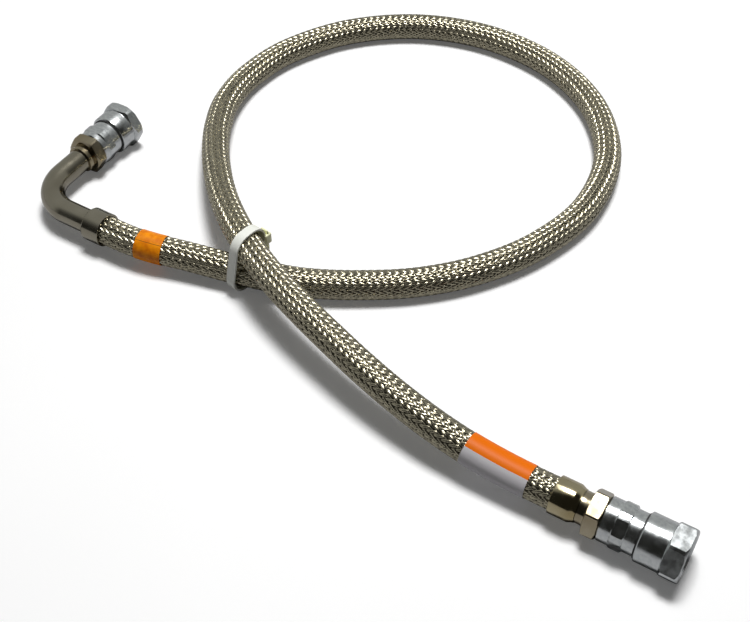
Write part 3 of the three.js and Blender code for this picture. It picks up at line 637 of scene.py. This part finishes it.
def makeBody(end, place):
    at = stations(end)
    edge, sleeve, neck, spigot = (bodySet[part] for part in ("edge", "sleeve", "neck", "spigot"))
    chamber, lip, lipBore, lipEdge = (bodySet[part] for part in ("chamber", "lip", "lipBore", "lipEdge"))
    seamEdge, noseEdge, hexEdge = bodySet["seamEdge"], bodySet["noseEdge"], bodySet["hexEdge"]
    face, tucked = at["face"], at["bodyHex"] + bodySet["tuck"]
    sealFloor = face - bodySet["sealDepth"]
    outside = turnPiece(end["name"] + "_body", [
        [at["sleeve"], chamber], [at["sleeve"], sleeve - edge], [at["sleeve"] + edge, sleeve],
        [tucked, sleeve], [tucked, neck], [at["seam"] - seamEdge, neck], [at["seam"], neck - seamEdge],
        [at["seam"], spigot], [face - noseEdge, spigot], [face, spigot - noseEdge],
        [face, bodySet["sealOuter"]], [sealFloor, bodySet["sealOuter"]],
        [sealFloor, bodySet["sealInner"]], [face, bodySet["sealInner"]],
        [face, lipBore + lipEdge], [face - lipEdge, lipBore],
        [face - lip, lipBore], [face - lip, chamber], [at["sleeve"], chamber]])
    barrel = solidTurn("barrel", [
        [at["bodyHex"], bodySet["corner"] - hexEdge], [at["bodyHex"] + hexEdge, bodySet["corner"]],
        [at["neck"] - hexEdge, bodySet["corner"]], [at["neck"], bodySet["corner"] - hexEdge]])
    flats = hexBar("flats", bodySet["flats"], at["bodyHex"], end["bodyHex"], bodySet["longEdge"],
                   end["bodyTurn"])
    combine(flats, barrel, "INTERSECT")
    hollow = neck - bodySet["hexWall"]
    combine(flats, solidTurn("bore", [[at["bodyHex"] - cutPast, hollow], [at["neck"] + cutPast, hollow]]),
            "DIFFERENCE")
    combine(outside, flats, "UNION")
    return finishFitting(outside, place, zinc)


adapterSet = {"flats": 25.4, "corner": 14.4, "rearEdge": 2.6, "frontEdge": 1.6, "edgeLength": 1.0,
              "intoHex": 1, "longEdge": 0.35}


def makeAdapter(name, end, place, rearProfile):
    # the adapter: its neck or collar, then the hexagon
    start, finish = end["hex"], end["hex"] + end["hexLength"]
    corner, edgeLength = adapterSet["corner"], adapterSet["edgeLength"]
    neck = solidTurn(name, [*rearProfile, [start + adapterSet["intoHex"], rearProfile[-1][1]]])
    barrel = solidTurn("barrel", [
        [start, corner - adapterSet["rearEdge"]], [start + edgeLength, corner],
        [finish - edgeLength, corner], [finish, corner - adapterSet["frontEdge"]]])
    flats = hexBar("flats", adapterSet["flats"], start, end["hexLength"], adapterSet["longEdge"],
                   end["hexTurn"])
    combine(flats, barrel, "INTERSECT")
    combine(neck, flats, "UNION")
    return finishFitting(neck, place, adapterSteel)


straightNut = makeNut(straightEnd, straightPlace)
elbowNut = makeNut(elbowEnd, elbowPlace)
straightBody = makeBody(straightEnd, straightPlace)
elbowBody = makeBody(elbowEnd, elbowPlace)

hoseBore = braidSet["outerRadius"] + seatGap

# the turned ring of the straight end: a drum, then a hollow curve down to its nose
drumSet = {"rear": 11.0, "front": 11.3, "length": 11.2, "edge": 0.4, "coneLength": 4.2, "coneDrop": 1.3,
           "coneSteps": 8, "nose": 8.9, "noseStart": 12.2, "seat": 11.4}


def makeStraightFerrule():
    edge, length = drumSet["edge"], drumSet["length"]
    coneEnd = length + drumSet["coneLength"]
    cone = []
    for i in range(1, drumSet["coneSteps"] + 1):
        share = i / drumSet["coneSteps"]
        drop = drumSet["coneDrop"] * (0.5 - 0.5 * math.cos(math.pi * share))
        cone.append([length + drumSet["coneLength"] * share, drumSet["front"] - drop])
    drum = turnPiece("straight_hose_ferrule", [
        [0, hoseBore], [0, drumSet["rear"]],
        *arcProfile(edge, drumSet["front"] - edge, edge, 180, 90, 3)[1:], [length, drumSet["front"]],
        *cone, [coneEnd, drumSet["nose"]], [drumSet["noseStart"], drumSet["nose"]],
        [drumSet["seat"], hoseBore], [0, hoseBore]])
    return finishFitting(drum, straightPlace, goldSteel)


straightFerrule = makeStraightFerrule()

neckSet = {"start": 15.7, "radius": 9.6, "straight": 3.1, "flare": 0.3, "shortOfHex": 0.5}
straightAdapter = makeAdapter("straight_hex_neck", straightEnd, straightPlace, [
    [neckSet["start"], neckSet["radius"]], [neckSet["start"] + neckSet["straight"], neckSet["radius"]],
    [straightEnd["hex"] - neckSet["shortOfHex"], neckSet["radius"] + neckSet["flare"]]])

# the plain ring of the elbow end
ringSet = {"radius": 11.4, "length": 14.0, "rearEdge": 0.3, "frontEdge": (0.7, 0.5), "nose": 8.6,
           "noseStart": 11.4, "seat": 11.3}
elbowFerrule = turnPiece("elbow_hose_ferrule", [
    [0, hoseBore], [0, ringSet["radius"] - ringSet["rearEdge"]], [ringSet["rearEdge"], ringSet["radius"]],
    [ringSet["length"] - ringSet["frontEdge"][0], ringSet["radius"]],
    [ringSet["length"], ringSet["radius"] - ringSet["frontEdge"][1]], [ringSet["length"], ringSet["nose"]],
    [ringSet["noseStart"], ringSet["nose"]], [ringSet["seat"], hoseBore], [0, hoseBore]])
finishFitting(elbowFerrule, Matrix.Translation(elbowMouth) @ Matrix.Rotation(math.pi, 4, "Z"), stainless)

collarSet = {"start": 46.0, "rear": 9.4, "radius": 9.8, "front": 9.1, "edge": 0.4, "length": 3.0}
elbowAdapter = makeAdapter("elbow_hex_collar", elbowEnd, elbowPlace, [
    [collarSet["start"], collarSet["rear"]], [collarSet["start"] + collarSet["edge"], collarSet["radius"]],
    [collarSet["start"] + collarSet["length"], collarSet["radius"]],
    [collarSet["start"] + collarSet["length"] + collarSet["edge"], collarSet["front"]]])


# the bent tube: a circle run straight, spun round the corner, and run straight again
# its legs run from the corner, the first one to the ring's seat and the second into the collar
elbowTubeSet = {"radius": 8.25, "bend": 28.0, "leg": 51.9, "rise": 48.7, "sides": 64, "steps": 28}
deselectAll()
tubeStart = elbowCorner + Vector((elbowTubeSet["leg"] * mm, 0, 0))
bpy.ops.mesh.primitive_circle_add(
    vertices=elbowTubeSet["sides"], radius=elbowTubeSet["radius"] * mm, location=tubeStart,
    rotation=(0, math.pi / 2, 0))
elbowTube = bpy.context.object
elbowTube.name = "bent_tube"
bpy.ops.object.transform_apply(location=True, rotation=True, scale=True)
bpy.ops.object.mode_set(mode="EDIT")
bpy.ops.mesh.select_all(action="SELECT")
bpy.ops.mesh.extrude_region_move(
    TRANSFORM_OT_translate={"value": (-(elbowTubeSet["leg"] - elbowTubeSet["bend"]) * mm, 0, 0)})
bpy.ops.mesh.spin(
    steps=elbowTubeSet["steps"], angle=math.pi / 2, axis=(0, 0, 1),
    center=elbowCorner + Vector((elbowTubeSet["bend"] * mm, elbowTubeSet["bend"] * mm, 0)))
bpy.ops.mesh.extrude_region_move(
    TRANSFORM_OT_translate={"value": (0, (elbowTubeSet["rise"] - elbowTubeSet["bend"]) * mm, 0)})
bpy.ops.object.mode_set(mode="OBJECT")
tidyMesh(elbowTube)
fillEnds(elbowTube)
tidyMesh(elbowTube)
elbowTube.data.materials.append(stainless)
smoothPiece(elbowTube, 40)
print("fittings made")

seamRingSet = {"inner": 11.3, "outer": 13.1, "gap": 0.05}


def dustRing(end, place):
    rear = stations(end)["seam"] + seamRingSet["gap"]
    front = rear + seamWidth - 2 * seamRingSet["gap"]
    inner, outer = seamRingSet["inner"], seamRingSet["outer"]
    ring = turnPiece(end["name"] + "_seam_ring", [
        [rear, inner], [rear, outer], [front, outer], [front, inner], [rear, inner]])
    return finishFitting(ring, place, blackRubber)


straightRing = dustRing(straightEnd, straightPlace)
elbowRing = dustRing(elbowEnd, elbowPlace)


# valve springs: as long as the CAD ones at rest
springSet = {"wire": 0.55, "turns": 5, "perTurn": 24, "around": 10, "travel": 5.5}


def makeSpring(end, place, axis, origin):
    # axis is 0 or 1, the way the coupling points, and origin is where its lengths start on that axis
    low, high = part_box(end["name"] + "_valve_spring")
    wire = springSet["wire"] * mm
    turn = np.linspace(0, 2 * math.pi * springSet["turns"], springSet["turns"] * springSet["perTurn"] + 1)
    aroundWire = np.linspace(0, 2 * math.pi, springSet["around"], endpoint=False)
    middle = low[axis] - origin + wire + (high[axis] - low[axis] - 2 * wire) * turn / turn[-1]
    radius = (high[2] - low[2]) / 2 - wire + wire * np.cos(aroundWire)
    along = middle[:, None] + wire * np.sin(aroundWire)
    piece = gridMesh(end["name"] + "_sleeve_spring", np.stack(
        [along, radius * np.cos(turn)[:, None], radius * np.sin(turn)[:, None]], -1))
    finishFitting(piece, place, springSteel)
    smoothPiece(piece, 60)
    return piece


straightSpring = makeSpring(straightEnd, straightPlace, 0, straightMouth.x)
elbowSpring = makeSpring(elbowEnd, elbowPlace, 1, elbowCorner.y)


# label and tape
# middle is the angle round the hose, from the top, of the tape's crease or of the label's orange half
tapeSet = {"start": 26.0, "length": 18.0, "radius": 9.85, "wall": 0.25, "steps": 18, "middle": -28.125}
labelSet = {"end": 14.9, "length": 40.5, "radius": 9.85, "wall": 0.2, "steps": 30, "middle": 35}
wrapSides = 64


def wrapPiece(name, start, wrapSet, material):
    # a closed thin wall round the hose; start is its place along the hose in metres
    along = np.linspace(start, start + wrapSet["length"] * mm, wrapSet["steps"] + 1)
    angle = np.linspace(0, 2 * math.pi, wrapSides, endpoint=False)
    radius = wrapSet["radius"]
    outer = hosePoint(along[:, None] + 0 * angle, angle + 0 * along[:, None],
                      np.full((len(along), wrapSides), (radius + wrapSet["wall"]) * mm))
    inner = hosePoint(along[::-1, None] + 0 * angle, angle + 0 * along[::-1, None],
                      np.full((len(along), wrapSides), radius * mm))
    piece = gridMesh(name, np.vstack([outer, inner, outer[:1]]), capEnds=False)
    # 1 at the middle and 0 opposite
    towards = piece.data.attributes.new("towardsMiddle", "FLOAT", "POINT")
    rings = len(piece.data.vertices) // wrapSides
    nearness = 0.5 + 0.5 * np.cos(angle - math.radians(wrapSet["middle"]))
    towards.data.foreach_set("value", np.tile(nearness, rings).astype(np.float32))
    tidyMesh(piece)
    piece.data.materials.append(material)
    smoothPiece(piece, 40)
    return piece


tapeBand = wrapPiece("orange_tape", hoseInsertion + tapeSet["start"] * mm, tapeSet, tapeOrange)
labelStart = hoseInsertion + hoseLength - (labelSet["end"] + labelSet["length"]) * mm
labelWrap = wrapPiece("wrapped_label", labelStart, labelSet, labelFilm)
print("label and tape made")


# cable tie: a band drawn tight over both strands where they cross, with its head and cut tail;
# its place is in metres
tieSet = {"place": (-0.0726, 0.0002, 0), "heading": 82.2, "width": 6.6, "thickness": 1.2, "gap": 0.3,
          "sides": 72, "edge": 0.4, "head": (8.4, 5.4, 8.0), "headEdge": 0.9, "bite": 0.9,
          "belowStrand": 4.2, "tailWidth": 5.6, "tailThickness": 1.2, "tailLength": 4.2,
          "tailOutset": 3.2, "tailEdge": 0.25, "slotGap": 0.35, "sharp": 50}
tiePlace = Matrix.Translation(tieSet["place"]) @ Matrix.Rotation(
    math.radians(tieSet["heading"] - 90), 4, "Z")
tieInside = braidSet["outerRadius"] + tieSet["gap"]


def tiedStrands():
    # where the two nearest strands pass the tie's plane, the lower one first: aside, height, slope
    local = (hoseLine - np.array(tieSet["place"])) @ np.array(tiePlace.to_3x3()) / mm
    passes = np.nonzero(np.diff(np.sign(local[:, 0])))[0]
    nearest = sorted(passes, key=lambda i: abs(local[i, 1]))[:2]
    run = {i: local[i + 1] - local[i] for i in nearest}
    strands = [(local[i, 1], local[i, 2], run[i][1] / run[i][0]) for i in nearest]
    return sorted(strands, key=lambda strand: strand[1])


def tiePosts():
    # two round posts for each strand, because a slanting section is wider than it is high
    posts = []
    for aside, height, slope in tiedStrands():
        spread = tieInside * (math.hypot(1, slope) - 1) + abs(slope) * tieSet["width"] / 2
        posts += [(aside - spread, height), (aside + spread, height)]
    return posts


def bandSolid(name, radius, width):
    # what a band drawn tight over the posts would enclose
    discs = []
    for aside, height in tiePosts():
        deselectAll()
        bpy.ops.mesh.primitive_cylinder_add(
            vertices=tieSet["sides"], radius=radius * mm, depth=width * mm,
            location=(0, aside * mm, height * mm), rotation=(0, math.pi / 2, 0))
        discs.append(bpy.context.object)
    for disc in discs:
        disc.select_set(True)
    bpy.ops.object.join()
    band = bpy.context.object
    band.name = name
    bpy.ops.object.transform_apply(location=True, rotation=True, scale=True)
    bpy.ops.object.mode_set(mode="EDIT")
    bpy.ops.mesh.select_all(action="SELECT")
    bpy.ops.mesh.convex_hull()
    bpy.ops.object.mode_set(mode="OBJECT")
    return band


def roundEdges(piece, width, segments=3):
    makeActive(piece)
    bevel = piece.modifiers.new("rounded", "BEVEL")
    bevel.width = width * mm
    bevel.segments = segments
    bevel.limit_method = "ANGLE"
    bevel.angle_limit = math.radians(tieSet["sharp"])
    bpy.ops.object.modifier_apply(modifier="rounded")


def block(name, size, place):
    deselectAll()
    bpy.ops.mesh.primitive_cube_add(size=1, location=[p * mm for p in place], scale=[s * mm for s in size])
    piece = bpy.context.object
    piece.name = name
    bpy.ops.object.transform_apply(location=True, rotation=True, scale=True)
    return piece


def makeTie():
    band = bandSolid("nylon_tie", tieInside + tieSet["thickness"], tieSet["width"])
    roundEdges(band, tieSet["edge"])
    combine(band, bandSolid("inside", tieInside, tieSet["width"] + 2 * cutPast), "DIFFERENCE")
    width, depth, height = tieSet["head"]
    upper, upperRight = tiedStrands()[1], tiePosts()[3]
    side = upperRight[0] + tieInside + tieSet["thickness"] - tieSet["bite"]
    middle = upper[1] - tieSet["belowStrand"]
    head = block("head", (width, depth, height), (0, side + depth / 2, middle))
    roundEdges(head, tieSet["headEdge"], 4)
    slotSize = (tieSet["tailWidth"] + 2 * tieSet["slotGap"], tieSet["tailThickness"] + tieSet["slotGap"],
                height + 2 * cutPast)
    slotAside = side + tieSet["tailOutset"] + tieSet["slotGap"] / 2
    combine(head, block("slot", slotSize, (0, slotAside, middle)), "DIFFERENCE")
    tail = block("tail", (tieSet["tailWidth"], tieSet["tailThickness"], height + 2 * tieSet["tailLength"]),
                 (0, side + tieSet["tailOutset"], middle - tieSet["tailLength"] / 2))
    roundEdges(tail, tieSet["tailEdge"], 2)
    combine(head, tail, "UNION")
    combine(band, head, "UNION")
    return finishFitting(band, tiePlace, nylon)


tie = makeTie()
print("tie made", len(tie.data.polygons))


# CAD pieces that stay
def dress(node, material):
    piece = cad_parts[node]
    piece.data.materials.clear()
    piece.data.materials.append(material)


for endName in ("straight", "elbow"):
    dress(endName + "_retaining_wire", springSteel)
    dress(endName + "_face_seal", blackRubber)
    dress(endName + "_valve_stem", goldSteel)
    dress(endName + "_valve_seal", blackRubber)
    dress(endName + "_valve_sleeve", zinc)


# what rides where
root = "hose_assembly"
rides = [
    (braidRight, root, "braid_sleeve", "braid"), (braidLeft, root, None, "braid"),
    (core, root, "inner_hose", "inner_hose"),
    (straightFerrule, root, "straight_ferrule", "gold_steel"),
    (straightAdapter, root, "straight_adapter", "gold_steel"),
    (straightBody, root, "straight_coupling_body", "zinc"),
    (straightRing, root, "straight_dust_ring", "dark_rubber"),
    (straightSpring, root, "straight_valve_spring", "spring_steel"),
    (straightNut, "straight_nut", "straight_union_nut", "zinc"),
    (elbowFerrule, root, "elbow_ferrule", "stainless"),
    (elbowTube, root, "elbow_tube", "stainless"),
    (elbowAdapter, root, "elbow_adapter", "gold_steel"),
    (elbowBody, root, "elbow_coupling_body", "zinc"),
    (elbowRing, root, "elbow_dust_ring", "dark_rubber"),
    (elbowSpring, root, "elbow_valve_spring", "spring_steel"),
    (elbowNut, "elbow_nut", "elbow_union_nut", "zinc"),
    (labelWrap, root, "hose_label", "label"), (tapeBand, root, "tape_band", "tape"),
    (tie, root, "cable_tie", "nylon"),
]
for piece, body, node, slot in rides:
    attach(piece, body)
    if node:
        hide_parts(node)

# each spring gets a mesh of its own
for spring, joint, axis in ((straightSpring, "straight_valve_slide", 0),
                            (elbowSpring, "elbow_valve_slide", 1)):
    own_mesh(spring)

print("pieces attached", len(rides))


# floor, light and world, all in metres
floorSet = {"size": 24, "glowFrom": 0.38, "glowTo": 1.8, "leastGlow": 0.1, "mostGlow": 0.9,
            "thrownBack": (0.47, 0.47, 0.475)}
deselectAll()
bpy.ops.mesh.primitive_plane_add(size=floorSet["size"], location=(0, 0, 0))
floor = bpy.context.object
floor.name = "floor"
floorWhite = newMaterial("white sheet", (0.93, 0.93, 0.93), 0.7)
colorSpots(floorWhite, 3, (0.92, 0.92, 0.92), (0.94, 0.94, 0.94))
# the sheet looks overexposed from the camera, more so away from the hose, and throws less
# light back at the hose
seenFrom = addNode(floorWhite, "ShaderNodeLightPath")
glow = addNode(floorWhite, "ShaderNodeMath", operation="MULTIPLY")
floorPlace = addNode(floorWhite, "ShaderNodeTexCoord")
howFar = addNode(floorWhite, "ShaderNodeVectorMath", operation="LENGTH")
glowSpread = addNode(floorWhite, "ShaderNodeMapRange",
                     From_Min=floorSet["glowFrom"], From_Max=floorSet["glowTo"],
                     To_Min=floorSet["leastGlow"], To_Max=floorSet["mostGlow"])
link(floorWhite, floorPlace, "Object", howFar, 0)
link(floorWhite, howFar, "Value", glowSpread, "Value")
link(floorWhite, glowSpread, "Result", glow, 1)
thrownBack = addNode(floorWhite, "ShaderNodeMix", data_type="RGBA", A=(*floorSet["thrownBack"], 1))
floorShader = floorWhite.node_tree.nodes["Principled BSDF"]
floorShader.inputs["Emission Color"].default_value = (1, 1, 1, 1)
floorSpots = floorShader.inputs["Base Color"].links[0].from_node
link(floorWhite, seenFrom, "Is Camera Ray", glow, 0)
link(floorWhite, glow, "Value", floorShader, "Emission Strength")
link(floorWhite, seenFrom, "Is Camera Ray", thrownBack, "Factor")
link(floorWhite, floorSpots, "Color", thrownBack, "B")
link(floorWhite, thrownBack, "Result", floorShader, "Base Color")
floor.data.materials.append(floorWhite)

lampSet = {"softbox": {"place": (-0.05, 0.42, 1.9), "size": (1.1, 0.95), "power": 7},
           "softbox middle": {"place": (-0.05, 0.42, 1.88), "size": (0.55, 0.5), "power": 31}}
lampAim = Vector((0, 0.1, 0))
for lampName, lamp in lampSet.items():
    deselectAll()
    bpy.ops.object.light_add(type="AREA", location=lamp["place"])
    light = bpy.context.object
    light.name = lampName
    light.data.shape = "RECTANGLE"
    light.data.size, light.data.size_y = lamp["size"]
    light.data.energy = lamp["power"]
    aim = lampAim - Vector(lamp["place"])
    light.rotation_mode = "QUATERNION"
    light.rotation_quaternion = aim.to_track_quat("-Z", "Y")

# a pale room that is dark from the viewer round to the right; it fills the shadows only a little
roomSet = {"fill": 0.16, "towardsViewer": (0.64, -0.74, 0.2), "darkFrom": 0.25,
           "pale": (0.43, 0.44, 0.43), "dark": (0.02, 0.02, 0.018)}
world = bpy.data.worlds.new("pale room")
bpy.context.scene.world = world
world.use_nodes = True
sky = world.node_tree.nodes["Background"]
shine = addNode(world, "ShaderNodeLightPath")
roomLight = addNode(world, "ShaderNodeMapRange", To_Min=roomSet["fill"])
seenOrMirrored = addNode(world, "ShaderNodeMath", operation="MAXIMUM")
link(world, shine, "Is Glossy Ray", seenOrMirrored, 0)
link(world, shine, "Is Camera Ray", seenOrMirrored, 1)
link(world, seenOrMirrored, "Value", roomLight, "Value")
link(world, roomLight, "Result", sky, "Strength")
direction = addNode(world, "ShaderNodeTexCoord")
viewerSide = addNode(world, "ShaderNodeVectorMath", operation="DOT_PRODUCT")
viewerSide.inputs[1].default_value = roomSet["towardsViewer"]
sideRamp = addNode(world, "ShaderNodeValToRGB")
sideRamp.color_ramp.elements[0].color = (*roomSet["pale"], 1)
sideRamp.color_ramp.elements[1].position = roomSet["darkFrom"]
sideRamp.color_ramp.elements[1].color = (*roomSet["dark"], 1)
link(world, direction, "Generated", viewerSide, 0)
link(world, viewerSide, "Value", sideRamp, "Fac")
# white where the camera sees past the sheet
whiteSky = addNode(world, "ShaderNodeMix", data_type="RGBA", B=(1, 1, 1, 1))
link(world, shine, "Is Camera Ray", whiteSky, "Factor")
link(world, sideRamp, "Color", whiteSky, "A")
link(world, whiteSky, "Result", sky, "Color")

bpy.context.scene.view_settings.view_transform = "Standard"
print("floor and light set")
